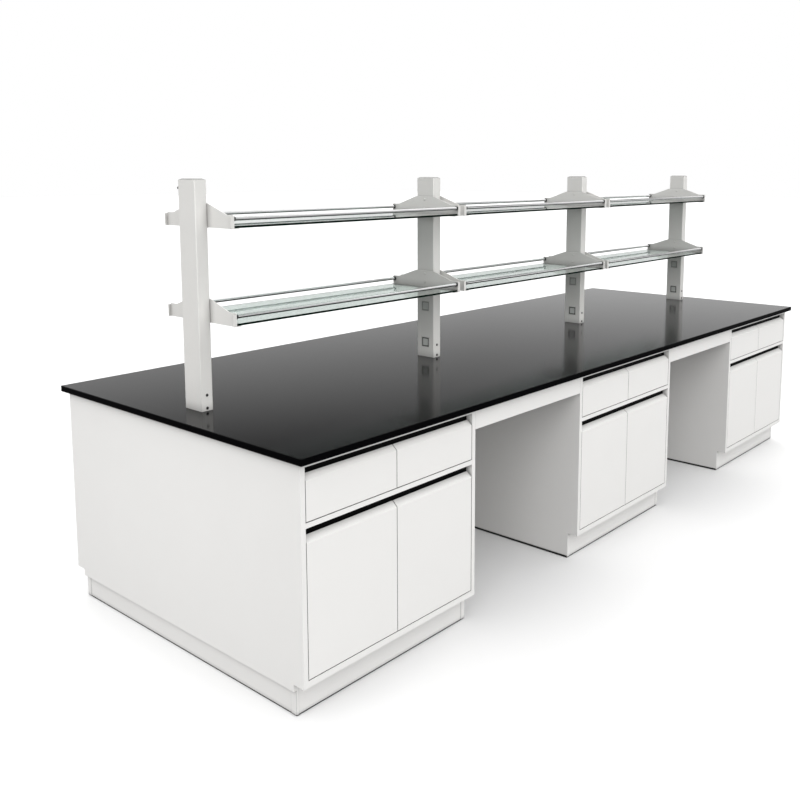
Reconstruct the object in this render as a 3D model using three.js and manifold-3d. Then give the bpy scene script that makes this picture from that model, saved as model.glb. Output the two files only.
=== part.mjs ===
// Double-sided laboratory island bench with a two-tier reagent shelf on its centre line.
// Millimetres, +Z up. X runs along the bench, Y across it; the origin is on the floor at its centre.
import * as THREE from 'three';
import { mergeVertices } from 'three/addons/utils/BufferGeometryUtils.js';
import Module from 'manifold-3d';

const wasm = await Module();
wasm.setup();

// Overall sizes
const WORK_HEIGHT = 900;
const BENCH_DEPTH = 1500;
const TOP_THICKNESS = 25;
const TOP_EDGE_ROUND = 2;
const FRONT_OVERHANG = 30;
const END_OVERHANG = 20;
const PEDESTAL_WIDTH = 890;
const KNEE_WIDTH = 765;
const PEDESTAL_COUNT = 3;
const SEAT = 0.3;

// Heights of a pedestal's front, from the floor up
const GLIDE_HEIGHT = 5;
const TOE_HEIGHT = 118;
const DECK_HEIGHT = 23;
const FRONT_GAP = 3;
const DOOR_HEIGHT = 482;
const DOOR_FINGER_GAP = 30;
const MID_RAIL_HEIGHT = 18;
const DRAWER_HEIGHT = 154;
const TOP_RAIL_HEIGHT = 17;

// Pedestal carcass
const PANEL = 20;
const TOE_DEPTH = 51;
const TOE_BOARD = 24;
const TOE_BOARD_SETBACK = 2;
const END_PANEL_BOTTOM = 92;
const END_PLINTH_SETBACK = 13;
const END_PLINTH_REVEAL = 2;
const RAIL_DEPTH = 48;
const TOP_RAIL_DEPTH = 60;
const DUST_PANEL = 12;
const GLIDE_RADIUS = 20;
const WELD = 1;

// Doors and drawers
const FRONT_THICKNESS = 22;
const SLOPE_RISE = 19;
const HINGE_HEIGHTS = [230, 530];
const HINGE_ARM = { depth: 46, width: 14, height: 32, setback: 34 };
const HINGE_CUP = { width: 46, height: 52, thickness: 6, inset: 16 };
const DRAWER_SIDE = 12;
const DRAWER_FLOOR = 10;
const DRAWER_BOX_DEPTH = 480;
const DRAWER_BOX_HEIGHT = 118;
const DRAWER_BOX_LIFT = 14;
const SLIDE_SPACE = 14;
const SLIDE_LENGTH = 480;
const SLIDE_HEIGHT = 34;
const SLIDE_RAIL = 5;
const SLIDE_PLAY = 0.8;

// Black finger-pull channels and knee-space aprons
const CHANNEL_SETBACK = 28;
const CHANNEL_HEIGHT = 34;
const CHANNEL_FLANGE = 14;
const CHANNEL_SHEET = 2;
const APRON_HEIGHT = 84;
const APRON_SHEET = 3;
const APRON_FLANGE = 40;
const APRON_LIP = 18;

// Reagent shelf
const COLUMN_COUNT = 4;
const COLUMN_SPACING = 1310;
const COLUMN_WIDTH = 51;
const COLUMN_DEPTH = 102;
const COLUMN_ROUND = 3;
const COLUMN_HEIGHT = 855;
const CAP_CHAMFER = { width: 11, height: 5 };
const SOCKET_HEIGHTS = [71, 245];
const SOCKET_FRAME = { width: 51, height: 51, rise: 1 };
const SOCKET_WELL = { width: 45, height: 45, depth: 4 };
const TIER_HEIGHTS = { lower: 328, upper: 678 };
const BRACKET = 4;
const BRACKET_FLANGE = 15;
const BRACKET_FLANGE_SHEET = 3;
const BRACKET_REACH = 204;
const BRACKET_END_HEIGHT = 50;
const BRACKET_ROOT_HEIGHT = 88;
const BRACKET_ROOT = 53;
const BRACKET_FLAT = 40;
const BRACKET_END_ROUND = 4;
const LEDGE_WIDTH = 22;
const LEDGE_THICKNESS = 2.5;
const GUARD_RAIL_RADIUS = 7;
const GUARD_RAIL_REACH = 195;
const GUARD_RAIL_HEIGHT = 36;
const GUARD_RAIL_SIDES = 12;
const GLASS_THICKNESS = 8;
const GLASS_REACH = 200;
const GLASS_SIDE_GAP = 1;
const GLASS_EDGE = 1;

// Worked out from the sizes above
const TOP_UNDERSIDE = WORK_HEIGHT - TOP_THICKNESS;
const CARCASS_TOP = TOP_UNDERSIDE - SEAT;
const HALF_DEPTH = BENCH_DEPTH / 2 - FRONT_OVERHANG;
const HALF_WIDTH = PEDESTAL_WIDTH / 2;
const HALF_CLEAR = HALF_WIDTH - PANEL;
const PITCH = PEDESTAL_WIDTH + KNEE_WIDTH;
const BENCH_LENGTH = PEDESTAL_COUNT * PEDESTAL_WIDTH + (PEDESTAL_COUNT - 1) * KNEE_WIDTH + 2 * END_OVERHANG;
const DECK_TOP = TOE_HEIGHT + DECK_HEIGHT;
const DOOR_BOTTOM = DECK_TOP + FRONT_GAP;
const DOOR_TOP = DOOR_BOTTOM + DOOR_HEIGHT;
const MID_RAIL_BOTTOM = DOOR_TOP + DOOR_FINGER_GAP;
const MID_RAIL_TOP = MID_RAIL_BOTTOM + MID_RAIL_HEIGHT;
const DRAWER_BOTTOM = MID_RAIL_TOP + FRONT_GAP;
const DRAWER_TOP = DRAWER_BOTTOM + DRAWER_HEIGHT;
const TOP_RAIL_BOTTOM = TOP_UNDERSIDE - TOP_RAIL_HEIGHT;
const FRONT_WIDTH = (2 * HALF_CLEAR - 3 * FRONT_GAP) / 2;
const SLIDE_MIDDLE = DRAWER_BOTTOM + DRAWER_BOX_LIFT + DRAWER_BOX_HEIGHT / 2;

const WHITE_POWDER_COAT = new THREE.MeshStandardMaterial({ color: 0xeceded, roughness: 0.5, metalness: 0 });
const BLACK_RESIN = new THREE.MeshStandardMaterial({ color: 0x17181a, roughness: 0.4, metalness: 0 });
const BLACK_CHANNEL = new THREE.MeshStandardMaterial({ color: 0x0b0b0c, roughness: 0.6, metalness: 0 });
const GREY_POWDER_COAT = new THREE.MeshStandardMaterial({ color: 0xcfcec9, roughness: 0.5, metalness: 0 });
const CLEAR_GLASS = new THREE.MeshStandardMaterial({ color: 0xcfe6de, roughness: 0.05, metalness: 0 });

// Solid helpers

function solidOf(geometry) {
  const bare = geometry.index ? geometry.toNonIndexed() : geometry.clone();
  bare.deleteAttribute('normal');
  bare.deleteAttribute('uv');
  const merged = mergeVertices(bare, 1e-4);
  const vertProperties = new Float32Array(merged.attributes.position.array);
  const triVerts = new Uint32Array(merged.index.array);
  return new wasm.Manifold(new wasm.Mesh({ numProp: 3, vertProperties, triVerts }));
}

function geometryOf(solid) {
  const mesh = solid.getMesh();
  const geometry = new THREE.BufferGeometry();
  geometry.setAttribute('position', new THREE.BufferAttribute(new Float32Array(mesh.vertProperties), 3));
  geometry.setIndex(new THREE.BufferAttribute(new Uint32Array(mesh.triVerts), 1));
  geometry.computeVertexNormals();
  return geometry;
}

function join(solids) {
  return solids.reduce((whole, solid) => whole.add(solid));
}

// The same solid, turned about the vertical by a count of quarter turns.
function turned(solid, quarters) {
  return solidOf(geometryOf(solid).rotateZ(quarters * Math.PI / 2));
}

function block([x0, x1], [y0, y1], [z0, z1]) {
  const geometry = new THREE.BoxGeometry(x1 - x0, y1 - y0, z1 - z0);
  geometry.translate((x0 + x1) / 2, (y0 + y1) / 2, (z0 + z1) / 2);
  return solidOf(geometry);
}

// A profile drawn in (y, z), drawn out along X.
function alongX(shape, x0, x1) {
  const geometry = new THREE.ExtrudeGeometry(shape, {
    depth: x1 - x0,
    bevelEnabled: false,
    curveSegments: 3,
  });
  const turn = new THREE.Matrix4().makeBasis(
    new THREE.Vector3(0, 1, 0),
    new THREE.Vector3(0, 0, 1),
    new THREE.Vector3(1, 0, 0),
  );
  geometry.applyMatrix4(turn);
  geometry.translate(x0, 0, 0);
  return solidOf(geometry);
}

function outline(points) {
  return new THREE.Shape(points.map(([a, b]) => new THREE.Vector2(a, b)));
}

function roundedRectangle(width, depth, round) {
  const shape = new THREE.Shape();
  const x = width / 2;
  const y = depth / 2;
  shape.moveTo(x - round, -y);
  shape.absarc(x - round, -y + round, round, -Math.PI / 2, 0, false);
  shape.absarc(x - round, y - round, round, 0, Math.PI / 2, false);
  shape.absarc(-x + round, y - round, round, Math.PI / 2, Math.PI, false);
  shape.absarc(-x + round, -y + round, round, Math.PI, 1.5 * Math.PI, false);
  shape.closePath();
  return shape;
}

function piece(name, solid, material) {
  const mesh = new THREE.Mesh(geometryOf(solid), material);
  mesh.name = name;
  return mesh;
}

// Worktop: one slab with softened top and bottom edges
function worktop() {
  const round = TOP_EDGE_ROUND;
  const shape = outline([
    [-BENCH_LENGTH / 2 + round, -BENCH_DEPTH / 2 + round],
    [BENCH_LENGTH / 2 - round, -BENCH_DEPTH / 2 + round],
    [BENCH_LENGTH / 2 - round, BENCH_DEPTH / 2 - round],
    [-BENCH_LENGTH / 2 + round, BENCH_DEPTH / 2 - round],
  ]);
  const geometry = new THREE.ExtrudeGeometry(shape, {
    depth: TOP_THICKNESS - 2 * round,
    bevelSize: round,
    bevelThickness: round,
    bevelSegments: 2,
  });
  geometry.translate(0, 0, TOP_UNDERSIDE + round);
  return piece('worktop', solidOf(geometry), BLACK_RESIN);
}

// Side panel of a pedestal, cut away at both feet for the toe space
function sidePanelOutline(bottom) {
  const toe = HALF_DEPTH - TOE_DEPTH;
  return outline([
    [-toe, bottom],
    [toe, bottom],
    [toe, TOE_HEIGHT],
    [HALF_DEPTH, TOE_HEIGHT],
    [HALF_DEPTH, CARCASS_TOP],
    [-HALF_DEPTH, CARCASS_TOP],
    [-HALF_DEPTH, TOE_HEIGHT],
    [-toe, TOE_HEIGHT],
  ]);
}

// The panel at a bench end stops short of the floor, over a plinth that stands back from it.
function sidePanel(side, atBenchEnd) {
  const inner = side * HALF_CLEAR;
  const outer = side * HALF_WIDTH;
  const plinth = side * (HALF_WIDTH - END_PLINTH_SETBACK);
  const span = (a, b) => [Math.min(a, b), Math.max(a, b)];
  if (!atBenchEnd) {
    return alongX(sidePanelOutline(GLIDE_HEIGHT), ...span(inner, outer));
  }
  const core = alongX(sidePanelOutline(GLIDE_HEIGHT), ...span(inner, plinth));
  const face = alongX(sidePanelOutline(END_PANEL_BOTTOM), ...span(plinth - side * WELD, outer));
  return core.add(face);
}

function toeBoardReach(atBenchEnd) {
  return atBenchEnd ? HALF_WIDTH - END_PLINTH_SETBACK + END_PLINTH_REVEAL : HALF_CLEAR + WELD;
}

// What one long face of a pedestal carries: rails, toe board, divider, slide rails, hinge arms, glides
function carcassFace(leftAtEnd, rightAtEnd) {
  const front = -HALF_DEPTH;
  const across = [-HALF_CLEAR - WELD, HALF_CLEAR + WELD];
  const toeFront = front + TOE_DEPTH + TOE_BOARD_SETBACK;
  const solids = [
    block(across, [front, front + RAIL_DEPTH], [MID_RAIL_BOTTOM, MID_RAIL_TOP]),
    block(across, [front, front + TOP_RAIL_DEPTH], [TOP_RAIL_BOTTOM, CARCASS_TOP]),
    block(
      [-toeBoardReach(leftAtEnd), toeBoardReach(rightAtEnd)],
      [toeFront, toeFront + TOE_BOARD],
      [GLIDE_HEIGHT, TOE_HEIGHT + WELD],
    ),
  ];
  const dustMiddle = (MID_RAIL_BOTTOM + MID_RAIL_TOP) / 2;
  const dustSpan = [dustMiddle - DUST_PANEL / 2, dustMiddle + DUST_PANEL / 2];
  solids.push(block(across, [front + RAIL_DEPTH - WELD, 0], dustSpan));
  const dividerSpan = [-PANEL / 2, PANEL / 2];
  solids.push(block(dividerSpan, [front + RAIL_DEPTH, 0], [dustMiddle, CARCASS_TOP]));
  const slideFront = front + FRONT_THICKNESS + 2 * FRONT_GAP;
  const slideSpan = [SLIDE_MIDDLE - SLIDE_HEIGHT / 2, SLIDE_MIDDLE + SLIDE_HEIGHT / 2];
  for (const wall of [-HALF_CLEAR, PANEL / 2]) {
    solids.push(block([wall - WELD, wall + SLIDE_RAIL], [slideFront, slideFront + SLIDE_LENGTH], slideSpan));
  }
  for (const wall of [-PANEL / 2, HALF_CLEAR]) {
    solids.push(block([wall - SLIDE_RAIL, wall + WELD], [slideFront, slideFront + SLIDE_LENGTH], slideSpan));
  }
  const armFront = front + HINGE_ARM.setback;
  for (const height of HINGE_HEIGHTS) {
    const armSpan = [height - HINGE_ARM.height / 2, height + HINGE_ARM.height / 2];
    const armReach = [armFront, armFront + HINGE_ARM.depth];
    solids.push(block([-HALF_CLEAR - WELD, -HALF_CLEAR + HINGE_ARM.width], armReach, armSpan));
    solids.push(block([HALF_CLEAR - HINGE_ARM.width, HALF_CLEAR + WELD], armReach, armSpan));
  }
  for (const side of [-1, 1]) {
    const glide = new THREE.CylinderGeometry(GLIDE_RADIUS, GLIDE_RADIUS, GLIDE_HEIGHT + WELD, 16);
    glide.rotateX(Math.PI / 2);
    glide.translate(side * (HALF_CLEAR - GLIDE_RADIUS), toeFront + GLIDE_RADIUS, (GLIDE_HEIGHT + WELD) / 2);
    solids.push(solidOf(glide));
  }
  return join(solids);
}

// Welded steel carcass: side panels, deck, centre partition and the same face on both long sides
function carcass(name, leftAtEnd, rightAtEnd) {
  const across = [-HALF_CLEAR - WELD, HALF_CLEAR + WELD];
  const solid = join([
    sidePanel(-1, leftAtEnd),
    sidePanel(1, rightAtEnd),
    block(across, [-HALF_DEPTH, HALF_DEPTH], [TOE_HEIGHT, DECK_TOP]),
    block(across, [-PANEL / 2, PANEL / 2], [DECK_TOP - WELD, CARCASS_TOP]),
    carcassFace(leftAtEnd, rightAtEnd),
    turned(carcassFace(rightAtEnd, leftAtEnd), 2),
  ]);
  return piece(name, solid, WHITE_POWDER_COAT);
}

// A front whose top edge slopes back over its whole thickness, for the fingers
function slopedFront(side, bottom, top) {
  const front = -HALF_DEPTH;
  const shape = outline([
    [front, bottom],
    [front + FRONT_THICKNESS, bottom],
    [front + FRONT_THICKNESS, top],
    [front, top - SLOPE_RISE],
  ]);
  const near = side * FRONT_GAP / 2;
  const far = side * (FRONT_GAP / 2 + FRONT_WIDTH);
  return alongX(shape, Math.min(near, far), Math.max(near, far));
}

// Door with the two hinge cups on its back, beside its outer edge
function door(name, side) {
  const back = -HALF_DEPTH + FRONT_THICKNESS;
  const outer = side * (HALF_CLEAR - FRONT_GAP - HINGE_CUP.inset);
  const inner = outer - side * HINGE_CUP.width;
  const solids = [slopedFront(side, DOOR_BOTTOM, DOOR_TOP)];
  for (const height of HINGE_HEIGHTS) {
    solids.push(block(
      [Math.min(outer, inner), Math.max(outer, inner)],
      [back - WELD, back + HINGE_CUP.thickness],
      [height - HINGE_CUP.height / 2, height + HINGE_CUP.height / 2],
    ));
  }
  return piece(name, join(solids), WHITE_POWDER_COAT);
}

// Drawer: sloped front, open double-walled box and the runner on each side
function drawer(name, side) {
  const back = -HALF_DEPTH + FRONT_THICKNESS;
  const boxFront = back - WELD;
  const boxBack = back + DRAWER_BOX_DEPTH;
  const boxBottom = DRAWER_BOTTOM + DRAWER_BOX_LIFT;
  const boxTop = boxBottom + DRAWER_BOX_HEIGHT;
  const middle = side * (HALF_CLEAR + PANEL / 2) / 2;
  const half = (HALF_CLEAR - PANEL / 2) / 2 - SLIDE_SPACE;
  const runner = SLIDE_SPACE - SLIDE_RAIL - SLIDE_PLAY;
  const hollow = block(
    [middle - half + DRAWER_SIDE, middle + half - DRAWER_SIDE],
    [back, boxBack - DRAWER_SIDE],
    [boxBottom + DRAWER_FLOOR, boxTop + WELD],
  );
  const shell = block([middle - half, middle + half], [boxFront, boxBack], [boxBottom, boxTop]);
  const box = shell.subtract(hollow);
  const runnerReach = [boxFront, boxFront + SLIDE_LENGTH];
  const runnerSpan = [SLIDE_MIDDLE - SLIDE_HEIGHT / 2, SLIDE_MIDDLE + SLIDE_HEIGHT / 2];
  const solid = join([
    slopedFront(side, DRAWER_BOTTOM, DRAWER_TOP),
    box,
    block([middle - half - runner, middle - half + WELD], runnerReach, runnerSpan),
    block([middle + half - WELD, middle + half + runner], runnerReach, runnerSpan),
  ]);
  return piece(name, solid, WHITE_POWDER_COAT);
}

// Black channel hung under a rail, behind the sloped edges of the fronts below it
function pullChannel(name, railBottom) {
  const web = -HALF_DEPTH + CHANNEL_SETBACK;
  const top = railBottom - SEAT;
  const bottom = top - CHANNEL_HEIGHT;
  const shape = outline([
    [web, bottom],
    [web + CHANNEL_FLANGE, bottom],
    [web + CHANNEL_FLANGE, bottom + CHANNEL_SHEET],
    [web + CHANNEL_SHEET, bottom + CHANNEL_SHEET],
    [web + CHANNEL_SHEET, top - CHANNEL_SHEET],
    [web + CHANNEL_FLANGE, top - CHANNEL_SHEET],
    [web + CHANNEL_FLANGE, top],
    [web, top],
  ]);
  return piece(name, alongX(shape, -HALF_CLEAR + SEAT, HALF_CLEAR - SEAT), BLACK_CHANNEL);
}

// The fronts of one long side of a pedestal, seen from that side
function pedestalFronts(prefix) {
  const group = new THREE.Group();
  for (const [hand, side] of [['left', -1], ['right', 1]]) {
    group.add(drawer(`${prefix}_drawer_${hand}`, side));
    group.add(door(`${prefix}_door_${hand}`, side));
  }
  group.add(pullChannel(`${prefix}_drawer_pull_channel`, TOP_RAIL_BOTTOM));
  group.add(pullChannel(`${prefix}_door_pull_channel`, MID_RAIL_BOTTOM));
  return group;
}

function pedestal(number) {
  const group = new THREE.Group();
  const name = `pedestal_${number}`;
  group.add(carcass(`${name}_carcass`, number === 1, number === PEDESTAL_COUNT));
  group.add(pedestalFronts(`${name}_front`));
  const back = pedestalFronts(`${name}_back`);
  back.rotation.z = Math.PI;
  group.add(back);
  group.position.x = (number - (PEDESTAL_COUNT + 1) / 2) * PITCH;
  return group;
}

// Folded apron under the worktop across a knee space
function apron(name) {
  const front = -HALF_DEPTH;
  const bottom = TOP_UNDERSIDE - APRON_HEIGHT;
  const top = CARCASS_TOP;
  const shape = outline([
    [front, bottom],
    [front + APRON_LIP, bottom],
    [front + APRON_LIP, bottom + APRON_SHEET],
    [front + APRON_SHEET, bottom + APRON_SHEET],
    [front + APRON_SHEET, top - APRON_SHEET],
    [front + APRON_FLANGE, top - APRON_SHEET],
    [front + APRON_FLANGE, top],
    [front, top],
  ]);
  return piece(name, alongX(shape, -KNEE_WIDTH / 2 + SEAT, KNEE_WIDTH / 2 - SEAT), WHITE_POWDER_COAT);
}

function kneeSpace(number) {
  const group = new THREE.Group();
  group.add(apron(`knee_space_${number}_apron_front`));
  const back = apron(`knee_space_${number}_apron_back`);
  back.rotation.z = Math.PI;
  group.add(back);
  group.position.x = (number - PEDESTAL_COUNT / 2) * PITCH;
  return group;
}

// Wedge that takes the chamfer off the top edge which stands this far along +Y
function capWedge(reach, span) {
  const slope = CAP_CHAMFER.height / CAP_CHAMFER.width;
  const shape = outline([
    [reach - CAP_CHAMFER.width, COLUMN_HEIGHT],
    [reach + WELD, COLUMN_HEIGHT - CAP_CHAMFER.height - WELD * slope],
    [reach + WELD, COLUMN_HEIGHT + WELD],
    [reach - CAP_CHAMFER.width, COLUMN_HEIGHT + WELD],
  ]);
  return alongX(shape, -span, span);
}

// Column: crisp tube with a chamfered cap, and socket wells on its face towards the first bay
function column(number) {
  const tube = new THREE.ExtrudeGeometry(roundedRectangle(COLUMN_WIDTH, COLUMN_DEPTH, COLUMN_ROUND), {
    depth: COLUMN_HEIGHT - SEAT,
    bevelEnabled: false,
    curveSegments: 4,
  });
  tube.translate(0, 0, SEAT);
  let solid = solidOf(tube);
  for (const quarters of [0, 2]) {
    solid = solid.subtract(turned(capWedge(COLUMN_DEPTH / 2, COLUMN_WIDTH), quarters));
  }
  for (const quarters of [1, 3]) {
    solid = solid.subtract(turned(capWedge(COLUMN_WIDTH / 2, COLUMN_DEPTH), quarters));
  }
  const face = -COLUMN_WIDTH / 2;
  const socketHeights = number > 1 ? SOCKET_HEIGHTS : [];
  for (const height of socketHeights) {
    const frame = block(
      [face - SOCKET_FRAME.rise, face + WELD],
      [-SOCKET_FRAME.width / 2, SOCKET_FRAME.width / 2],
      [height - SOCKET_FRAME.height / 2, height + SOCKET_FRAME.height / 2],
    );
    const well = block(
      [face - SOCKET_FRAME.rise - WELD, face - SOCKET_FRAME.rise + SOCKET_WELL.depth],
      [-SOCKET_WELL.width / 2, SOCKET_WELL.width / 2],
      [height - SOCKET_WELL.height / 2, height + SOCKET_WELL.height / 2],
    );
    solid = solid.add(frame).subtract(well);
  }
  const mesh = piece(`column_${number}`, solid, GREY_POWDER_COAT);
  mesh.position.set((number - (COLUMN_COUNT + 1) / 2) * COLUMN_SPACING, 0, WORK_HEIGHT);
  return mesh;
}

// Bracket plate: deep at the column, sloping down to a shallow rounded end on both sides
function bracketOutline() {
  const round = BRACKET_END_ROUND;
  const shape = new THREE.Shape();
  shape.moveTo(-BRACKET_REACH, 0);
  shape.lineTo(BRACKET_REACH, 0);
  shape.lineTo(BRACKET_REACH, BRACKET_END_HEIGHT - round);
  shape.absarc(BRACKET_REACH - round, BRACKET_END_HEIGHT - round, round, 0, Math.PI / 2, false);
  shape.lineTo(BRACKET_REACH - BRACKET_FLAT, BRACKET_END_HEIGHT);
  shape.lineTo(BRACKET_ROOT, BRACKET_ROOT_HEIGHT);
  shape.lineTo(-BRACKET_ROOT, BRACKET_ROOT_HEIGHT);
  shape.lineTo(-BRACKET_REACH + BRACKET_FLAT, BRACKET_END_HEIGHT);
  shape.absarc(-BRACKET_REACH + round, BRACKET_END_HEIGHT - round, round, Math.PI / 2, Math.PI, false);
  shape.closePath();
  return shape;
}

function bayHalfLength() {
  return (COLUMN_SPACING - COLUMN_WIDTH) / 2 - SEAT;
}

// Shelf cradle of one bay: at each end a folded bracket, with a glass ledge towards the bay and a flange
// at each tip turned back over the column, and a guard rail along each long edge
function shelfFrame(name) {
  const half = bayHalfLength();
  const solids = [];
  for (const side of [-1, 1]) {
    const outer = side * half;
    const inner = side * (half - BRACKET);
    const ledge = side * (half - BRACKET - LEDGE_WIDTH);
    solids.push(alongX(bracketOutline(), Math.min(outer, inner), Math.max(outer, inner)));
    solids.push(block(
      [Math.min(outer, ledge), Math.max(outer, ledge)],
      [-BRACKET_REACH, BRACKET_REACH],
      [0, LEDGE_THICKNESS],
    ));
    const flange = inner + side * BRACKET_FLANGE;
    for (const end of [-1, 1]) {
      const tip = end * BRACKET_REACH;
      const back = end * (BRACKET_REACH - BRACKET_FLANGE_SHEET);
      solids.push(block(
        [Math.min(inner, flange), Math.max(inner, flange)],
        [Math.min(tip, back), Math.max(tip, back)],
        [0, BRACKET_END_HEIGHT - BRACKET_END_ROUND],
      ));
    }
    const rail = new THREE.CylinderGeometry(
      GUARD_RAIL_RADIUS,
      GUARD_RAIL_RADIUS,
      2 * (half - BRACKET + WELD),
      GUARD_RAIL_SIDES,
    );
    rail.rotateZ(Math.PI / 2);
    rail.translate(0, side * GUARD_RAIL_REACH, GUARD_RAIL_HEIGHT);
    solids.push(solidOf(rail));
  }
  return piece(name, join(solids), GREY_POWDER_COAT);
}

// Glass pane with ground edges, lying on the ledges of its cradle
function glassShelf(name) {
  const length = 2 * (bayHalfLength() - BRACKET - GLASS_SIDE_GAP);
  const geometry = new THREE.ExtrudeGeometry(outline([
    [-length / 2 + GLASS_EDGE, -GLASS_REACH + GLASS_EDGE],
    [length / 2 - GLASS_EDGE, -GLASS_REACH + GLASS_EDGE],
    [length / 2 - GLASS_EDGE, GLASS_REACH - GLASS_EDGE],
    [-length / 2 + GLASS_EDGE, GLASS_REACH - GLASS_EDGE],
  ]), {
    depth: GLASS_THICKNESS - 2 * GLASS_EDGE,
    bevelSize: GLASS_EDGE,
    bevelThickness: GLASS_EDGE,
    bevelSegments: 1,
  });
  geometry.translate(0, 0, LEDGE_THICKNESS + SEAT + GLASS_EDGE);
  return piece(name, solidOf(geometry), CLEAR_GLASS);
}

function shelfBay(number) {
  const group = new THREE.Group();
  for (const [tier, height] of Object.entries(TIER_HEIGHTS)) {
    const shelf = new THREE.Group();
    shelf.add(shelfFrame(`bay_${number}_${tier}_shelf_frame`));
    shelf.add(glassShelf(`bay_${number}_${tier}_glass_shelf`));
    shelf.position.z = WORK_HEIGHT + height;
    group.add(shelf);
  }
  group.position.x = (number - COLUMN_COUNT / 2) * COLUMN_SPACING;
  return group;
}

const bench = new THREE.Group();
bench.add(worktop());
for (let number = 1; number <= PEDESTAL_COUNT; number += 1) {
  bench.add(pedestal(number));
}
for (let number = 1; number < PEDESTAL_COUNT; number += 1) {
  bench.add(kneeSpace(number));
}
for (let number = 1; number <= COLUMN_COUNT; number += 1) {
  bench.add(column(number));
}
for (let number = 1; number < COLUMN_COUNT; number += 1) {
  bench.add(shelfBay(number));
}

export default bench;
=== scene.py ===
import math

import bmesh
import bpy
from mathutils import Matrix, Vector


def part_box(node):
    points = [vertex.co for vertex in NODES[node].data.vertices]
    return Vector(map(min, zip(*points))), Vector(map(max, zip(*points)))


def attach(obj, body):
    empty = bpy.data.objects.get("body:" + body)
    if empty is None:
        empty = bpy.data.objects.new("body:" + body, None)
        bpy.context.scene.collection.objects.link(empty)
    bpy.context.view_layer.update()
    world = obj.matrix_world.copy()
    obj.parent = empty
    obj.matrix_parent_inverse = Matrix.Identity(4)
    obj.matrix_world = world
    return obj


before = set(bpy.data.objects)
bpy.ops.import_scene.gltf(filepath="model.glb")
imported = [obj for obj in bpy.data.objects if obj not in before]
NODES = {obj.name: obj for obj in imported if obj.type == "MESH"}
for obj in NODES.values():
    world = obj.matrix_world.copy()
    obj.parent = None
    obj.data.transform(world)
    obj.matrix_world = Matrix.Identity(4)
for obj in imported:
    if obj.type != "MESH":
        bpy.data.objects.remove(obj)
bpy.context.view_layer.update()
MM = 0.001


# Sizes in millimetres, as the solids have them

WORK_HEIGHT = 900
SEAT = 0.3

PEDESTAL_COUNT = 3
PEDESTAL_PITCH = 1655
HALF_DEPTH = 720
HALF_WIDTH = 445
PANEL = 20
GLIDE_HEIGHT = 5
END_PLINTH_SETBACK = 13
TOE_SETBACK = 53
FRONT_THICKNESS = 22
HINGE_HEIGHTS = [230, 530]
HINGE_ARM = {"width": 14, "height": 32, "depth": 46, "setback": 34}
SLIDE_RAIL = {"width": 5, "height": 34, "length": 480, "setback": 28, "middle": 750}

COLUMN_COUNT = 4
COLUMN_SPACING = 1310
COLUMN_WIDTH = 51
COLUMN_DEPTH = 102
COLUMN_TOP = WORK_HEIGHT + 855
SOCKET_HEIGHTS = [WORK_HEIGHT + 71, WORK_HEIGHT + 245]
SOCKET_WELL = {"half_width": 22.5, "depth": 3}

BAY_COUNT = COLUMN_COUNT - 1
TIERS = {"lower": WORK_HEIGHT + 328, "upper": WORK_HEIGHT + 678}
BRACKET_PLATE = 4
RAIL_REACH = 195
RAIL_HEIGHT = 36
RAIL_RADIUS = 7

# How far off a face may be and still count as lying on a piece
HAIR = 0.1
MARGIN = 1

# The faces of a drawer this near its ends belong to its runners
RUNNER_WITHIN = 18

# The faces of a shelf frame this far in from its ends and up from its foot belong to its guard rails
RAIL_INSET = 60
RAIL_LIFT = 20

# How far the edges of each kind of piece are rounded
FOLD_ROUND = {"sheet": 0.8, "apron": 0.6, "bracket": 0.5, "column": 0.4, "channel": 0.4,
              "worktop": 0.3, "glass": 0.2}

# Worked out from the sizes above
HALF_CLEAR = HALF_WIDTH - PANEL
FRONT_BACK = HALF_DEPTH - FRONT_THICKNESS
PLINTH_FACE = HALF_WIDTH - END_PLINTH_SETBACK
TOE_FACE = HALF_DEPTH - TOE_SETBACK
SOCKET_SEAT = COLUMN_WIDTH / 2 - SOCKET_WELL["depth"]
BETWEEN_SOCKETS = sum(SOCKET_HEIGHTS) / 2
BRACKET_FACE = (COLUMN_SPACING - COLUMN_WIDTH) / 2 - SEAT - BRACKET_PLATE


def in_row(number, count, pitch):
    """X of one of a row of equal pieces that is centred on the bench."""
    return (number - (count + 1) / 2) * pitch


# Colours and nodes

def linear(hex_colour):
    """An sRGB hex colour as the linear RGBA that the shaders take."""
    channels = [int(hex_colour[i:i + 2], 16) / 255 for i in (1, 3, 5)]
    return [c / 12.92 if c <= 0.04045 else ((c + 0.055) / 1.055) ** 2.4 for c in channels] + [1.0]


def node(tree, kind, inputs=None, **settings):
    """Adds a node. A socket among the inputs is linked, and any other value is set."""
    made = tree.nodes.new(kind)
    for key, value in settings.items():
        setattr(made, key, value)
    for key, value in (inputs or {}).items():
        if isinstance(value, bpy.types.NodeSocket):
            tree.links.new(value, made.inputs[key])
        else:
            made.inputs[key].default_value = value
    return made


def finish_of(name, shader_inputs):
    """A new material with one Principled shader, and its node tree."""
    material = bpy.data.materials.new(name)
    material.use_nodes = True
    tree = material.node_tree
    shader = tree.nodes["Principled BSDF"]
    for key, value in shader_inputs.items():
        shader.inputs[key].default_value = value
    return material, tree, shader


def per_mm(size):
    """Noise scale whose blotches are about this many millimetres wide."""
    return 1.0 / (size * MM)


def paint_fold_shade(tree, tone, fold_shade_tone, reach):
    """Painted shade: the colour of a coat, mixed toward its grey where another surface closes it in
    nearer than this many millimetres."""
    open_share = node(tree, "ShaderNodeAmbientOcclusion", {"Distance": reach * MM}, samples=8)
    fold_shaded = node(tree, "ShaderNodeMix", {
        "Factor": open_share.outputs["AO"], "A": linear(fold_shade_tone), "B": tone}, data_type="RGBA")
    return fold_shaded.outputs["Result"]
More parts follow.
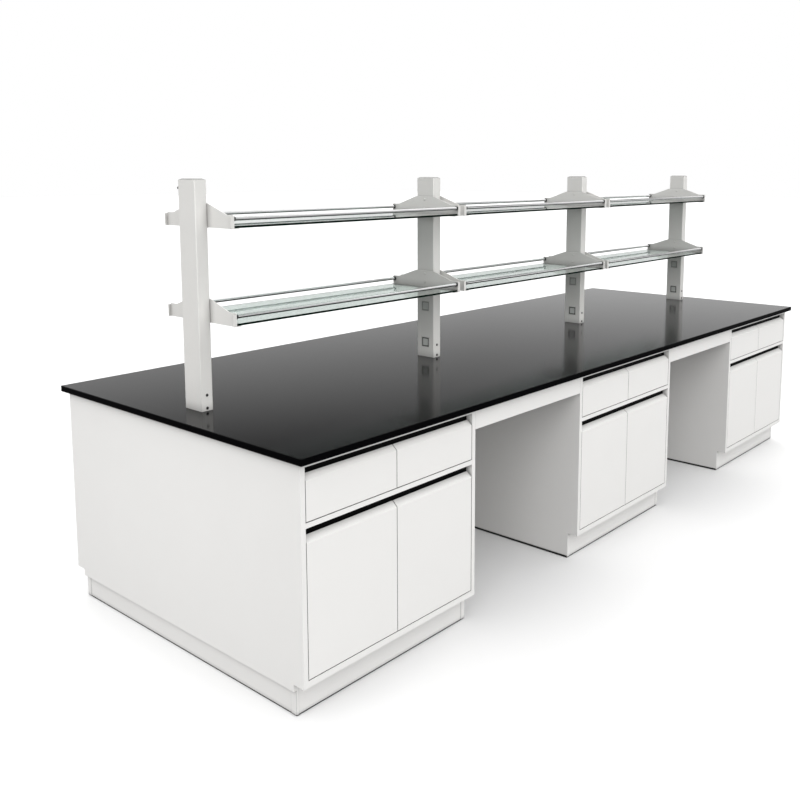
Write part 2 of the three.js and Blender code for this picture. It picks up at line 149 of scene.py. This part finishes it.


# Powder coat on sheet steel: sprayed as charged dust and baked, so the film flows into a fine orange peel
# and the colour carries a trace of warm and cool blotching. Where another surface closes the coat in, as at
# the sloped edges in the finger gaps, its colour is mixed toward a grey: painted shade in folds and gaps.
# The real peel is about 1 mm wide; it is drawn at 4 or 5 mm so that it shows.
WHITE_COAT = {"darker": "#ecebe9", "lighter": "#efeeec", "fold_shade_tone": "#5a5a59",
              "blotch": 180, "peel": 5, "roughness": 0.42}
GREY_COAT = {"darker": "#dad9d6", "lighter": "#deddda", "fold_shade_tone": "#8a8987",
             "blotch": 90, "peel": 4, "roughness": 0.4}


def powder_coat(name, coat, fold_shade_reach):
    material, tree, shader = finish_of(name, {"Roughness": coat["roughness"], "IOR": 1.5})
    place = node(tree, "ShaderNodeTexCoord").outputs["Object"]
    film = node(tree, "ShaderNodeTexNoise", {
        "Vector": place, "Scale": per_mm(coat["blotch"]), "Detail": 3.0})
    tone = node(tree, "ShaderNodeMix", {
        "Factor": film.outputs["Fac"], "A": linear(coat["darker"]), "B": linear(coat["lighter"])},
        data_type="RGBA")
    peel = node(tree, "ShaderNodeTexNoise", {
        "Vector": place, "Scale": per_mm(coat["peel"]), "Detail": 2.0})
    bump = node(tree, "ShaderNodeBump", {
        "Height": peel.outputs["Fac"], "Strength": 0.04, "Distance": 0.2 * MM})
    # Painted shade: the coat greys where other surfaces close it in
    colour = paint_fold_shade(tree, tone.outputs["Result"], coat["fold_shade_tone"], fold_shade_reach)
    tree.links.new(colour, shader.inputs["Base Color"])
    tree.links.new(bump.outputs["Normal"], shader.inputs["Normal"])
    return material


# Cast epoxy resin, sanded to a satin: black all through, a fine cast grain, and a soft blurred mirror
# of what stands on it that is brighter at a low angle. Its sawn edges are duller and mirror less.
def black_epoxy(name, mirror_index):
    material, tree, shader = finish_of(name, {"IOR": mirror_index})
    place = node(tree, "ShaderNodeTexCoord").outputs["Object"]
    cast = node(tree, "ShaderNodeTexNoise", {"Vector": place, "Scale": per_mm(14), "Detail": 4.0})
    tone = node(tree, "ShaderNodeMix", {
        "Factor": cast.outputs["Fac"], "A": linear("#040405"), "B": linear("#070708")}, data_type="RGBA")
    sanding = node(tree, "ShaderNodeTexNoise", {"Vector": place, "Scale": per_mm(120), "Detail": 3.0})
    rough = node(tree, "ShaderNodeMapRange", {
        "Value": sanding.outputs["Fac"], "To Min": 0.12, "To Max": 0.15})
    grit = node(tree, "ShaderNodeTexNoise", {"Vector": place, "Scale": per_mm(2), "Detail": 2.0})
    bump = node(tree, "ShaderNodeBump", {
        "Height": grit.outputs["Fac"], "Strength": 0.02, "Distance": 0.1 * MM})
    tree.links.new(tone.outputs["Result"], shader.inputs["Base Color"])
    tree.links.new(rough.outputs["Result"], shader.inputs["Roughness"])
    tree.links.new(bump.outputs["Normal"], shader.inputs["Normal"])
    return material


# Black coated aluminium extrusion in the finger gaps: nearly no light comes back out of it.
def black_pull_channel():
    material, tree, shader = finish_of("black_coated_aluminium", {
        "Roughness": 0.6, "IOR": 1.45, "Specular IOR Level": 0.08})
    place = node(tree, "ShaderNodeTexCoord").outputs["Object"]
    streak = node(tree, "ShaderNodeMapping", {"Vector": place, "Scale": (0.05, 1.0, 1.0)})
    drawn = node(tree, "ShaderNodeTexNoise", {
        "Vector": streak.outputs["Vector"], "Scale": per_mm(2), "Detail": 2.0})
    tone = node(tree, "ShaderNodeMix", {
        "Factor": drawn.outputs["Fac"], "A": linear("#020202"), "B": linear("#060606")}, data_type="RGBA")
    tree.links.new(tone.outputs["Result"], shader.inputs["Base Color"])
    return material


# Stainless tube, drawn and polished along its length: a bright and a dark line run along each rail.
def drawn_stainless_tube():
    material, tree, shader = finish_of("drawn_stainless_steel", {"Metallic": 1.0})
    place = node(tree, "ShaderNodeTexCoord").outputs["Object"]
    streak = node(tree, "ShaderNodeMapping", {"Vector": place, "Scale": (0.02, 1.0, 1.0)})
    drawn = node(tree, "ShaderNodeTexNoise", {
        "Vector": streak.outputs["Vector"], "Scale": per_mm(1.5), "Detail": 2.0})
    rough = node(tree, "ShaderNodeMapRange", {
        "Value": drawn.outputs["Fac"], "To Min": 0.06, "To Max": 0.12})
    tone = node(tree, "ShaderNodeMix", {
        "Factor": drawn.outputs["Fac"], "A": linear("#dcdddd"), "B": linear("#e8e8e8")}, data_type="RGBA")
    tree.links.new(tone.outputs["Result"], shader.inputs["Base Color"])
    tree.links.new(rough.outputs["Result"], shader.inputs["Roughness"])
    return material


# Zinc-plated pressed steel of hinges and drawer slides, with the faint spangle of the plating.
def zinc_plated_steel():
    material, tree, shader = finish_of("zinc_plated_steel", {"Metallic": 1.0, "Roughness": 0.35})
    place = node(tree, "ShaderNodeTexCoord").outputs["Object"]
    spangle = node(tree, "ShaderNodeTexVoronoi", {"Vector": place, "Scale": per_mm(6)})
    tone = node(tree, "ShaderNodeMix", {
        "Factor": spangle.outputs["Distance"], "A": linear("#b4b7ba"), "B": linear("#9fa3a7")},
        data_type="RGBA")
    tree.links.new(tone.outputs["Result"], shader.inputs["Base Color"])
    return material


# Float glass: drawn flat on molten tin, so both faces are clear and mirror-smooth. The trace of green is
# a little uneven along the pane, where it has been wiped.
def float_glass_face():
    material, tree, shader = finish_of("float_glass_face", {
        "Roughness": 0.0, "IOR": 1.52, "Transmission Weight": 1.0})
    place = node(tree, "ShaderNodeTexCoord").outputs["Object"]
    sweep = node(tree, "ShaderNodeMapping", {"Vector": place, "Scale": (0.3, 1.0, 1.0)})
    wiped = node(tree, "ShaderNodeTexNoise", {
        "Vector": sweep.outputs["Vector"], "Scale": per_mm(60), "Detail": 2.0})
    tone = node(tree, "ShaderNodeMix", {
        "Factor": wiped.outputs["Fac"], "A": linear("#bdcbc5"), "B": linear("#c5d3cd")}, data_type="RGBA")
    tree.links.new(tone.outputs["Result"], shader.inputs["Base Color"])
    return material


# The ground edge of the same glass: the light that travels along the pane comes out bottle green, nearly
# black, and the ground face mirrors next to nothing.
def ground_glass_edge():
    material, tree, shader = finish_of("ground_glass_edge", {"Roughness": 0.25, "IOR": 1.05})
    place = node(tree, "ShaderNodeTexCoord").outputs["Object"]
    ground = node(tree, "ShaderNodeTexNoise", {"Vector": place, "Scale": per_mm(30), "Detail": 3.0})
    tone = node(tree, "ShaderNodeMix", {
        "Factor": ground.outputs["Fac"], "A": linear("#020c08"), "B": linear("#051a12")}, data_type="RGBA")
    tree.links.new(tone.outputs["Result"], shader.inputs["Base Color"])
    return material


# Moulded plastic of column caps, socket plates and wells, glides, ferrules, screw caps and base strips:
# one colour all through, with a fine spark-eroded texture that keeps it dull. The black base strips are
# painted shade, put where the gap under each pedestal is in shadow.
def moulded_plastic(name, darker, lighter):
    material, tree, shader = finish_of(name, {"Roughness": 0.52, "IOR": 1.5})
    place = node(tree, "ShaderNodeTexCoord").outputs["Object"]
    spark = node(tree, "ShaderNodeTexNoise", {"Vector": place, "Scale": per_mm(1.5), "Detail": 2.0})
    tone = node(tree, "ShaderNodeMix", {
        "Factor": spark.outputs["Fac"], "A": linear(darker), "B": linear(lighter)}, data_type="RGBA")
    bump = node(tree, "ShaderNodeBump", {
        "Height": spark.outputs["Fac"], "Strength": 0.1, "Distance": 0.1 * MM})
    tree.links.new(tone.outputs["Result"], shader.inputs["Base Color"])
    tree.links.new(bump.outputs["Normal"], shader.inputs["Normal"])
    return material


# Each coat is mixed toward its grey within the reach given, as painted shade in folds and gaps; the drawers
# and doors take longer reaches, so the sloped tops of their fronts read darker
WHITE = powder_coat("white_powder_coated_steel", WHITE_COAT, fold_shade_reach=20)
DRAWER_WHITE = powder_coat("white_powder_coated_drawer", WHITE_COAT, fold_shade_reach=35)
DOOR_WHITE = powder_coat("white_powder_coated_door", WHITE_COAT, fold_shade_reach=75)
GREY = powder_coat("grey_powder_coated_steel", GREY_COAT, fold_shade_reach=35)
WORKTOP = black_epoxy("cast_black_epoxy_resin", mirror_index=1.18)
WORKTOP_EDGE = black_epoxy("sawn_black_epoxy_edge", mirror_index=1.06)
CHANNEL = black_pull_channel()
STAINLESS = drawn_stainless_tube()
ZINC = zinc_plated_steel()
GLASS = float_glass_face()
GLASS_EDGE = ground_glass_edge()
CAP = moulded_plastic("moulded_grey_abs_cap", "#8f8f8c", "#979794")
SOCKET = moulded_plastic("moulded_grey_abs_socket", "#bcbebb", "#c4c6c3")
WELL = moulded_plastic("moulded_dark_abs_well", "#5a5a58", "#646462")
UPPER_WELL = moulded_plastic("moulded_pale_abs_well", "#9b9b98", "#a3a3a0")
BLACK = moulded_plastic("moulded_black_nylon", "#151515", "#1f1f1f")


# CAD nodes: finishes by face, and softened folds

def dress(name, finishes, choose=None, rounded=None):
    """Gives a CAD node its finishes. From the middle of a face in millimetres and its normal, choose says
    which of them it takes, and rounded whether it is shaded round."""
    mesh = NODES[name].data
    mesh.materials.clear()
    for material in finishes:
        mesh.materials.append(material)
    for face in mesh.polygons:
        at = [along / MM for along in face.center]
        face.material_index = int(choose(at, face.normal)) if choose else 0
        face.use_smooth = bool(rounded and rounded(at, face.normal))


def soften(name, width, segments=2):
    """Rounds the folded edges of a CAD node by this many millimetres."""
    piece = NODES[name]
    weld = piece.modifiers.new("weld", "WELD")
    weld.merge_threshold = 0.01 * MM
    flat = piece.modifiers.new("flat_faces", "DECIMATE")
    flat.decimate_type = "DISSOLVE"
    flat.angle_limit = math.radians(1)
    flat.delimit = {"MATERIAL"}
    fold = piece.modifiers.new("fold", "BEVEL")
    fold.width = width * MM
    fold.segments = segments
    fold.limit_method = "ANGLE"
    fold.angle_limit = math.radians(40)


def span_along(name):
    """Middle and half length along X of a CAD node, in millimetres."""
    low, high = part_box(name)
    return (low.x + high.x) / 2 / MM, (high.x - low.x) / 2 / MM


def dress_carcass(name):
    """White sheet steel; zinc on the hinge arms and slide rails; black glides."""
    middle = span_along(name)[0]
    arm_front = HALF_DEPTH - HINGE_ARM["setback"]
    arm_back = arm_front - HINGE_ARM["depth"]
    slide_front = HALF_DEPTH - SLIDE_RAIL["setback"]
    slide_back = slide_front - SLIDE_RAIL["length"]

    def choose(at, normal):
        aside, out, height = abs(at[0] - middle), abs(at[1]), at[2]
        if height < GLIDE_HEIGHT - HAIR:
            return 2
        at_wall = HALF_CLEAR - HINGE_ARM["width"] - MARGIN < aside < HALF_CLEAR - HAIR
        at_divider = PANEL / 2 + HAIR < aside < PANEL / 2 + SLIDE_RAIL["width"] + HAIR
        off_hinge = min(abs(height - hinge) for hinge in HINGE_HEIGHTS)
        on_arm = arm_back - MARGIN < out < arm_front + MARGIN and off_hinge < HINGE_ARM["height"] / 2 + MARGIN
        off_slide = abs(height - SLIDE_RAIL["middle"])
        on_slide = slide_back < out < slide_front + MARGIN and off_slide < SLIDE_RAIL["height"] / 2 + HAIR
        return at_wall and (on_arm or on_slide) or at_divider and on_slide

    dress(name, [WHITE, ZINC, BLACK], choose)
    soften(name, FOLD_ROUND["sheet"])


def behind_front(at):
    """Whether a face of a drawer or door lies behind its front board."""
    return abs(at[1]) < FRONT_BACK - HAIR


def dress_drawer(name):
    """White front and box, with zinc runners outside the box."""
    middle, half = span_along(name)

    def on_runner(at, normal):
        return behind_front(at) and abs(at[0] - middle) > half - RUNNER_WITHIN

    dress(name, [DRAWER_WHITE, ZINC], on_runner)
    soften(name, FOLD_ROUND["sheet"])


def dress_door(name):
    """White board, with zinc hinge cups on its back."""
    dress(name, [DOOR_WHITE, ZINC], lambda at, normal: behind_front(at))
    soften(name, FOLD_ROUND["sheet"])


def dress_shelf_frame(name):
    """Grey brackets, with a stainless guard rail along each long edge."""
    middle, half = span_along(name)
    foot_of_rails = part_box(name)[0].z / MM + RAIL_LIFT

    def on_rail(at, normal):
        return abs(at[0] - middle) < half - RAIL_INSET and at[2] > foot_of_rails

    dress(name, [GREY, STAINLESS], on_rail, on_rail)
    soften(name, FOLD_ROUND["bracket"])


def dress_column(name):
    """Grey tube with a darker plastic cap let into its top. Its lower socket well is dark, and its upper one
    paler."""
    well_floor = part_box(name)[1].x / MM - COLUMN_WIDTH + SOCKET_WELL["depth"]

    def choose(at, normal):
        if normal.z > 0.5:
            return 1
        if abs(at[0] - well_floor) < 2 * HAIR and abs(at[1]) < SOCKET_WELL["half_width"] + MARGIN / 2:
            return 3 if at[2] > BETWEEN_SOCKETS else 2
        return 0

    def at_corner(at, normal):
        return min(abs(normal.x), abs(normal.y)) > 0.05

    dress(name, [GREY, CAP, WELL, UPPER_WELL], choose, at_corner)
    soften(name, FOLD_ROUND["column"])


def dress_bench():
    for name in NODES:
        if name == "worktop":
            dress(name, [WORKTOP, WORKTOP_EDGE], lambda at, normal: abs(normal.z) < 0.3)
            soften(name, FOLD_ROUND["worktop"])
        elif name.endswith("pull_channel"):
            dress(name, [CHANNEL])
            soften(name, FOLD_ROUND["channel"])
        elif name.endswith("glass_shelf"):
            dress(name, [GLASS, GLASS_EDGE], lambda at, normal: abs(normal.z) < 0.9)
            soften(name, FOLD_ROUND["glass"])
        elif name.endswith("shelf_frame"):
            dress_shelf_frame(name)
        elif name.startswith("column"):
            dress_column(name)
        elif name.endswith("carcass"):
            dress_carcass(name)
        elif "_drawer_" in name:
            dress_drawer(name)
        elif "_door_" in name:
            dress_door(name)
        else:
            dress(name, [WHITE])
            soften(name, FOLD_ROUND["apron"])


dress_bench()


# Small pieces: screw heads, rail ferrules, socket inserts and black base strips of painted shade, in
# millimetres

BASE_SCREW = {"diameter": 11, "height": 3}
BASE_SCREW_HEIGHTS = [WORK_HEIGHT + 11, WORK_HEIGHT + 60]
CAP_STUD = {"diameter": 12, "height": 14}
CAP_STUD_ASIDE = 16.5
CAP_STUD_BELOW_TOP = 34
BRACKET_SCREW = {"diameter": 10, "height": 2.6}
BRACKET_SCREW_HEIGHTS = [32, 73]
FERRULE = {"bore": RAIL_RADIUS + 0.1, "nose": RAIL_RADIUS + 1.6, "rim": RAIL_RADIUS + 2.2,
           "shoulder": 6.5, "length": 7.5}
PLATE_WIDTH = 29
PLATE_HEIGHT = 31
# Inset from the outline, corner radius and height above the well of each step of a socket plate
PLATE_STEPS = [(0, 3, 0.0), (0, 3, 3.0), (0.5, 2.5, 3.6), (3.5, 2, 3.6), (4, 2, 2.8)]
# The black strip and lip under each pedestal are painted shade for the shadowed floor gap
SHADOW_STRIP = {"inset": 1, "wall": 2, "round": 1, "height": 4.8}
SHADOW_STRIP_LIP = {"height": 9.6, "thickness": 0.5, "round": 0.4}


def circle(radius, points=24):
    """Round outline."""
    turns = [2 * math.pi * i / points for i in range(points)]
    return [(radius * math.cos(t), radius * math.sin(t)) for t in turns]


def hexagon(radius, points=24):
    """Six-sided outline with the same count of points as a circle."""
    turns = [2 * math.pi * i / points for i in range(points)]
    reach = [radius * math.cos(math.pi / 6) / math.cos(t % (math.pi / 3) - math.pi / 6) for t in turns]
    return [(r * math.cos(t), r * math.sin(t)) for r, t in zip(reach, turns)]


def rounded_oblong(width, height, round_off, points=6):
    """Outline of an oblong with rounded corners."""
    outline = []
    for corner, (x, y) in enumerate([(1, 1), (-1, 1), (-1, -1), (1, -1)]):
        for i in range(points):
            turn = (corner + i / (points - 1)) * math.pi / 2
            outline.append((x * (width / 2 - round_off) + round_off * math.cos(turn),
                            y * (height / 2 - round_off) + round_off * math.sin(turn)))
    return outline


def skin(shape, rings, at, facing, hollow=False):
    """Closes a skin over outlines that stand on a seat, each with its height above the seat."""
    turn = Vector(facing).to_track_quat("Z", "Y").to_matrix().to_4x4()
    place = Matrix.Translation(Vector(at) * MM) @ turn
    loops = [[shape.verts.new(place @ Vector((x * MM, y * MM, height * MM))) for x, y in outline]
             for outline, height in rings]
    pairs = list(zip(loops, loops[1:]))
    if hollow:
        pairs.append((loops[-1], loops[0]))
    else:
        shape.faces.new(list(reversed(loops[0])))
        shape.faces.new(loops[-1])
    for low, high in pairs:
        for i in range(len(low)):
            j = (i + 1) % len(low)
            shape.faces.new((low[i], low[j], high[j], high[i]))


def small_piece(name, finish, slot, make, *where):
    """A new piece fixed to the bench. The make function puts its skins into an empty mesh."""
    shape = bmesh.new()
    make(shape, *where)
    bmesh.ops.recalc_face_normals(shape, faces=shape.faces)
    mesh = bpy.data.meshes.new(name)
    shape.to_mesh(mesh)
    shape.free()
    mesh.materials.append(finish)
    piece = bpy.data.objects.new(name, mesh)
    bpy.context.scene.collection.objects.link(piece)
    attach(piece, "bench")


def screw_head(shape, at, facing, diameter, height):
    """Button head with a hexagon socket."""
    radius = diameter / 2
    skin(shape, [
        (circle(radius), 0.0),
        (circle(radius), 0.35 * height),
        (circle(0.82 * radius), 0.8 * height),
        (circle(0.52 * radius), height),
        (hexagon(0.36 * radius), height),
        (hexagon(0.34 * radius), 0.4 * height),
    ], at, facing)


def base_screws(shape, x):
    """Two screws at the foot of a column, on both its broad sides."""
    for side in (-1, 1):
        for height in BASE_SCREW_HEIGHTS:
            screw_head(shape, (x, side * COLUMN_DEPTH / 2, height), (0, side, 0), **BASE_SCREW)


def cap_stud(shape, x):
    """Stud on the back of a column, near its cap."""
    at = (x - CAP_STUD_ASIDE, COLUMN_DEPTH / 2, COLUMN_TOP - CAP_STUD_BELOW_TOP)
    screw_head(shape, at, (0, 1, 0), **CAP_STUD)


def bracket_screws(shape, x, tier):
    """Two screws through each bracket of a bay into its column."""
    for side in (-1, 1):
        for height in BRACKET_SCREW_HEIGHTS:
            screw_head(shape, (x + side * BRACKET_FACE, 0, tier + height), (-side, 0, 0), **BRACKET_SCREW)


def rail_ferrules(shape, x, tier):
    """The collars where the guard rails of a bay enter its brackets."""
    for side in (-1, 1):
        for edge in (-1, 1):
            at = (x + side * BRACKET_FACE, edge * RAIL_REACH, tier + RAIL_HEIGHT)
            skin(shape, [
                (circle(FERRULE["bore"]), 0.0),
                (circle(FERRULE["rim"]), 0.0),
                (circle(FERRULE["rim"]), FERRULE["shoulder"]),
                (circle(FERRULE["nose"]), FERRULE["length"]),
                (circle(FERRULE["bore"]), FERRULE["length"]),
            ], at, (-side, 0, 0), hollow=True)


def socket_inserts(shape, x):
    """The plates in the two socket wells of a column."""
    rings = [(rounded_oblong(PLATE_WIDTH - 2 * inset, PLATE_HEIGHT - 2 * inset, corner), height)
             for inset, corner, height in PLATE_STEPS]
    for height in SOCKET_HEIGHTS:
        skin(shape, rings, (x - SOCKET_SEAT, 0, height), (-1, 0, 0))


def base_shadow_strip(shape, number):
    """Black strip in the gap under a pedestal, with a thin lip up the foot of the sides at the knee
    spaces: painted shade, standing in for the shadow in that gap."""
    middle = in_row(number, PEDESTAL_COUNT, PEDESTAL_PITCH)
    sides = ((-1, number == 1), (1, number == PEDESTAL_COUNT))
    low, high = [side * (PLINTH_FACE if at_end else HALF_WIDTH) for side, at_end in sides]
    width = high - low - 2 * SHADOW_STRIP["inset"]
    depth = 2 * (TOE_FACE - SHADOW_STRIP["inset"])
    outer = rounded_oblong(width, depth, SHADOW_STRIP["round"])
    inner = rounded_oblong(width - 2 * SHADOW_STRIP["wall"], depth - 2 * SHADOW_STRIP["wall"], SHADOW_STRIP["round"])
    skin(shape, [(outer, 0.0), (outer, SHADOW_STRIP["height"]), (inner, SHADOW_STRIP["height"]), (inner, 0.0)],
         (middle + (low + high) / 2, 0, 0), (0, 0, 1), hollow=True)
    lip = rounded_oblong(depth, SHADOW_STRIP_LIP["height"], SHADOW_STRIP_LIP["round"])
    for side, at_end in sides:
        if not at_end:
            skin(shape, [(lip, 0.0), (lip, SHADOW_STRIP_LIP["thickness"])],
                 (middle + side * HALF_WIDTH, 0, SHADOW_STRIP_LIP["height"] / 2), (side, 0, 0))


def fit_small_pieces():
    for number in range(1, COLUMN_COUNT + 1):
        x = in_row(number, COLUMN_COUNT, COLUMN_SPACING)
        small_piece(f"column_{number}_base_screws", BLACK, "black_channel", base_screws, x)
        if number > 1:
            small_piece(f"column_{number}_socket_inserts", SOCKET, "grey_powder_coat", socket_inserts, x)
    first_column = in_row(1, COLUMN_COUNT, COLUMN_SPACING)
    small_piece("column_1_cap_stud", BLACK, "black_channel", cap_stud, first_column)
    for number in range(1, PEDESTAL_COUNT + 1):
        # Painted shade: black strips fill the shadowed gap under each pedestal
        small_piece(f"pedestal_{number}_base_shadow_strip", BLACK, "black_channel", base_shadow_strip, number)
    for number in range(1, BAY_COUNT + 1):
        x = in_row(number, BAY_COUNT, COLUMN_SPACING)
        for tier, height in TIERS.items():
            bay = f"bay_{number}_{tier}"
            small_piece(f"{bay}_bracket_screws", GREY, "grey_powder_coat", bracket_screws, x, height)
            small_piece(f"{bay}_rail_ferrules", BLACK, "black_channel", rail_ferrules, x, height)


fit_small_pieces()


# Stage: pale floor and soft light

FLOOR_WIDTH = 120
FLOOR_DROP = 0.2 * MM
FLOOR_SEEN = "#e7e7e7"
FLOOR_BOUNCE = "#898989"

# Levels of light in the room
CEILING_LIGHT = 1.65
WALL_MIRRORED = 1.15
COVE_MIRRORED = 0.6
BACK_WALL_GAIN = 1.4
CEILING_MIRRORED = 1.4
PANE_MIRRORED = 0.62

# Where each level passes into the next: height in the room as the sine of the angle above the horizon,
# and for the back wall how squarely a ray points at it
WALL_TOP = (0.1, 0.2)
COVE_TOP = (0.23, 0.31)
DIFFUSER_EDGE = (0.3, 0.65)
BACK_WALL_EDGE = (0.6, 0.9)

SOFTBOXES = {
    "front_softbox": {"energy": 1.05, "angle": 40, "travel": (0.0, 0.985, -0.17)},
    "corner_softbox": {"energy": 1.27, "angle": 60, "travel": (0.665, 0.665, -0.34)},
    "rear_softbox": {"energy": 1.0, "angle": 60, "travel": (-0.6, -0.66, -0.45)},
}
END_PANEL_LAMP = {"energy": 11, "size": 1.6, "at": (-4.3, 0.0, 0.9), "travel": (1.0, 0.0, 0.0)}

# Camera that the straight edges in the photo give, in metres and radians
CAMERA = {"at": (-3.90862, -2.82342, 1.77708), "nod": 0.128463, "turn": -0.858506,
          "lens": 40.898, "shift": (-0.03875, -0.13784)}


def studio_floor():
    """Pale floor, white to the eye, that throws little light back up at the bench."""
    bpy.ops.mesh.primitive_plane_add(size=FLOOR_WIDTH)
    floor = bpy.context.object
    floor.name = "studio_floor"
    floor.location.z = -FLOOR_DROP
    material, tree, shader = finish_of("pale_studio_floor", {"Roughness": 1.0, "Specular IOR Level": 0.0})
    path = node(tree, "ShaderNodeLightPath")
    seen = node(tree, "ShaderNodeMath", {
        0: path.outputs["Is Camera Ray"], 1: path.outputs["Is Transmission Ray"]}, operation="MAXIMUM")
    tone = node(tree, "ShaderNodeMix", {
        "Factor": seen.outputs[0], "A": linear(FLOOR_BOUNCE), "B": linear(FLOOR_SEEN)}, data_type="RGBA")
    tree.links.new(tone.outputs["Result"], shader.inputs["Base Color"])
    floor.data.materials.append(material)


def studio_room():
    """A broad ceiling diffuser lights the bench. What mirrors the room shows pale walls, the back one
    brighter, a dark cove over them and the diffuser, and the panes mirror it less. The eye sees plain
    white behind, also through glass."""
    world = bpy.data.worlds.new("studio")
    bpy.context.scene.world = world
    world.use_nodes = True
    tree = world.node_tree
    tree.nodes.clear()
    towards = node(tree, "ShaderNodeTexCoord").outputs["Generated"]
    along = node(tree, "ShaderNodeSeparateXYZ", {"Vector": towards})
    up = along.outputs["Z"]
    lit = node(tree, "ShaderNodeMapRange", {
        "Value": up, "From Min": DIFFUSER_EDGE[0], "From Max": DIFFUSER_EDGE[1],
        "To Min": 0.0, "To Max": CEILING_LIGHT})
    walls = node(tree, "ShaderNodeMapRange", {
        "Value": up, "From Min": WALL_TOP[0], "From Max": WALL_TOP[1],
        "To Min": WALL_MIRRORED, "To Max": COVE_MIRRORED})
    back_wall = node(tree, "ShaderNodeMapRange", {
        "Value": along.outputs["Y"], "From Min": BACK_WALL_EDGE[0], "From Max": BACK_WALL_EDGE[1],
        "To Min": 1.0, "To Max": BACK_WALL_GAIN})
    below_cove = node(tree, "ShaderNodeMapRange", {
        "Value": up, "From Min": COVE_TOP[0], "From Max": COVE_TOP[1], "To Min": 1.0, "To Max": 0.0})
    lined = node(tree, "ShaderNodeMath", {
        0: walls.outputs["Result"], 1: back_wall.outputs["Result"]}, operation="MULTIPLY")
    room_sides = node(tree, "ShaderNodeMath", {
        0: lined.outputs[0], 1: below_cove.outputs["Result"]}, operation="MULTIPLY")
    ceiling = node(tree, "ShaderNodeMapRange", {
        "Value": up, "From Min": DIFFUSER_EDGE[0], "From Max": DIFFUSER_EDGE[1],
        "To Min": 0.0, "To Max": CEILING_MIRRORED})
    mirrored = node(tree, "ShaderNodeMath", {
        0: room_sides.outputs[0], 1: ceiling.outputs["Result"]}, operation="MAXIMUM")
    path = node(tree, "ShaderNodeLightPath")
    off_mirror = node(tree, "ShaderNodeMath", {0: path.outputs["Glossy Depth"], 1: 1.0}, operation="MINIMUM")
    off_pane = node(tree, "ShaderNodeMath", {
        0: path.outputs["Is Singular Ray"], 1: path.outputs["Is Reflection Ray"]}, operation="MULTIPLY")
    pane_share = node(tree, "ShaderNodeMapRange", {
        "Value": off_pane.outputs[0], "To Min": 1.0, "To Max": PANE_MIRRORED})
    in_mirror = node(tree, "ShaderNodeMath", {
        0: mirrored.outputs[0], 1: pane_share.outputs["Result"]}, operation="MULTIPLY")
    level = node(tree, "ShaderNodeMix", {
        "Factor": off_mirror.outputs[0], "A": lit.outputs["Result"], "B": in_mirror.outputs[0]})
    room = node(tree, "ShaderNodeBackground", {
        "Color": linear("#ffffff"), "Strength": level.outputs["Result"]})
    backdrop = node(tree, "ShaderNodeBackground", {"Color": linear("#ffffff"), "Strength": 1.0})
    seen = node(tree, "ShaderNodeMath", {
        0: path.outputs["Is Camera Ray"], 1: path.outputs["Is Transmission Ray"]}, operation="MAXIMUM")
    straight = node(tree, "ShaderNodeMath", {
        0: seen.outputs[0], 1: off_mirror.outputs[0]}, operation="SUBTRACT", use_clamp=True)
    mixed = node(tree, "ShaderNodeMixShader", {
        0: straight.outputs[0], 1: room.outputs[0], 2: backdrop.outputs[0]})
    node(tree, "ShaderNodeOutputWorld", {"Surface": mixed.outputs[0]})


def stand_lamp(name, lamp, travel):
    """Puts a lamp in the scene, shining along its travel. Only its light is seen, not the lamp."""
    stand = bpy.data.objects.new(name, lamp)
    stand.rotation_euler = Vector(travel).to_track_quat("-Z", "Y").to_euler()
    stand.visible_camera = False
    stand.visible_glossy = False
    stand.visible_transmission = False
    bpy.context.scene.collection.objects.link(stand)
    return stand


def studio_lamps():
    for name, box in SOFTBOXES.items():
        lamp = bpy.data.lights.new(name, "SUN")
        lamp.energy = box["energy"]
        lamp.angle = math.radians(box["angle"])
        stand_lamp(name, lamp, box["travel"])
    lamp = bpy.data.lights.new("end_panel_lamp", "AREA")
    lamp.energy = END_PANEL_LAMP["energy"]
    lamp.size = END_PANEL_LAMP["size"]
    stand_lamp("end_panel_lamp", lamp, END_PANEL_LAMP["travel"]).location = END_PANEL_LAMP["at"]


def photo_camera():
    lens = bpy.data.cameras.new("photo_camera")
    lens.sensor_width = 36.0
    lens.lens = CAMERA["lens"]
    lens.shift_x, lens.shift_y = CAMERA["shift"]
    lens.clip_end = 300.0
    camera = bpy.data.objects.new("photo_camera", lens)
    camera.location = CAMERA["at"]
    camera.rotation_euler = (math.pi / 2 - CAMERA["nod"], 0.0, CAMERA["turn"])
    bpy.context.scene.collection.objects.link(camera)
    bpy.context.scene.camera = camera


studio_floor()
studio_room()
studio_lamps()
photo_camera()
bpy.context.scene.view_settings.view_transform = "Standard"

bpy.context.view_layer.update()
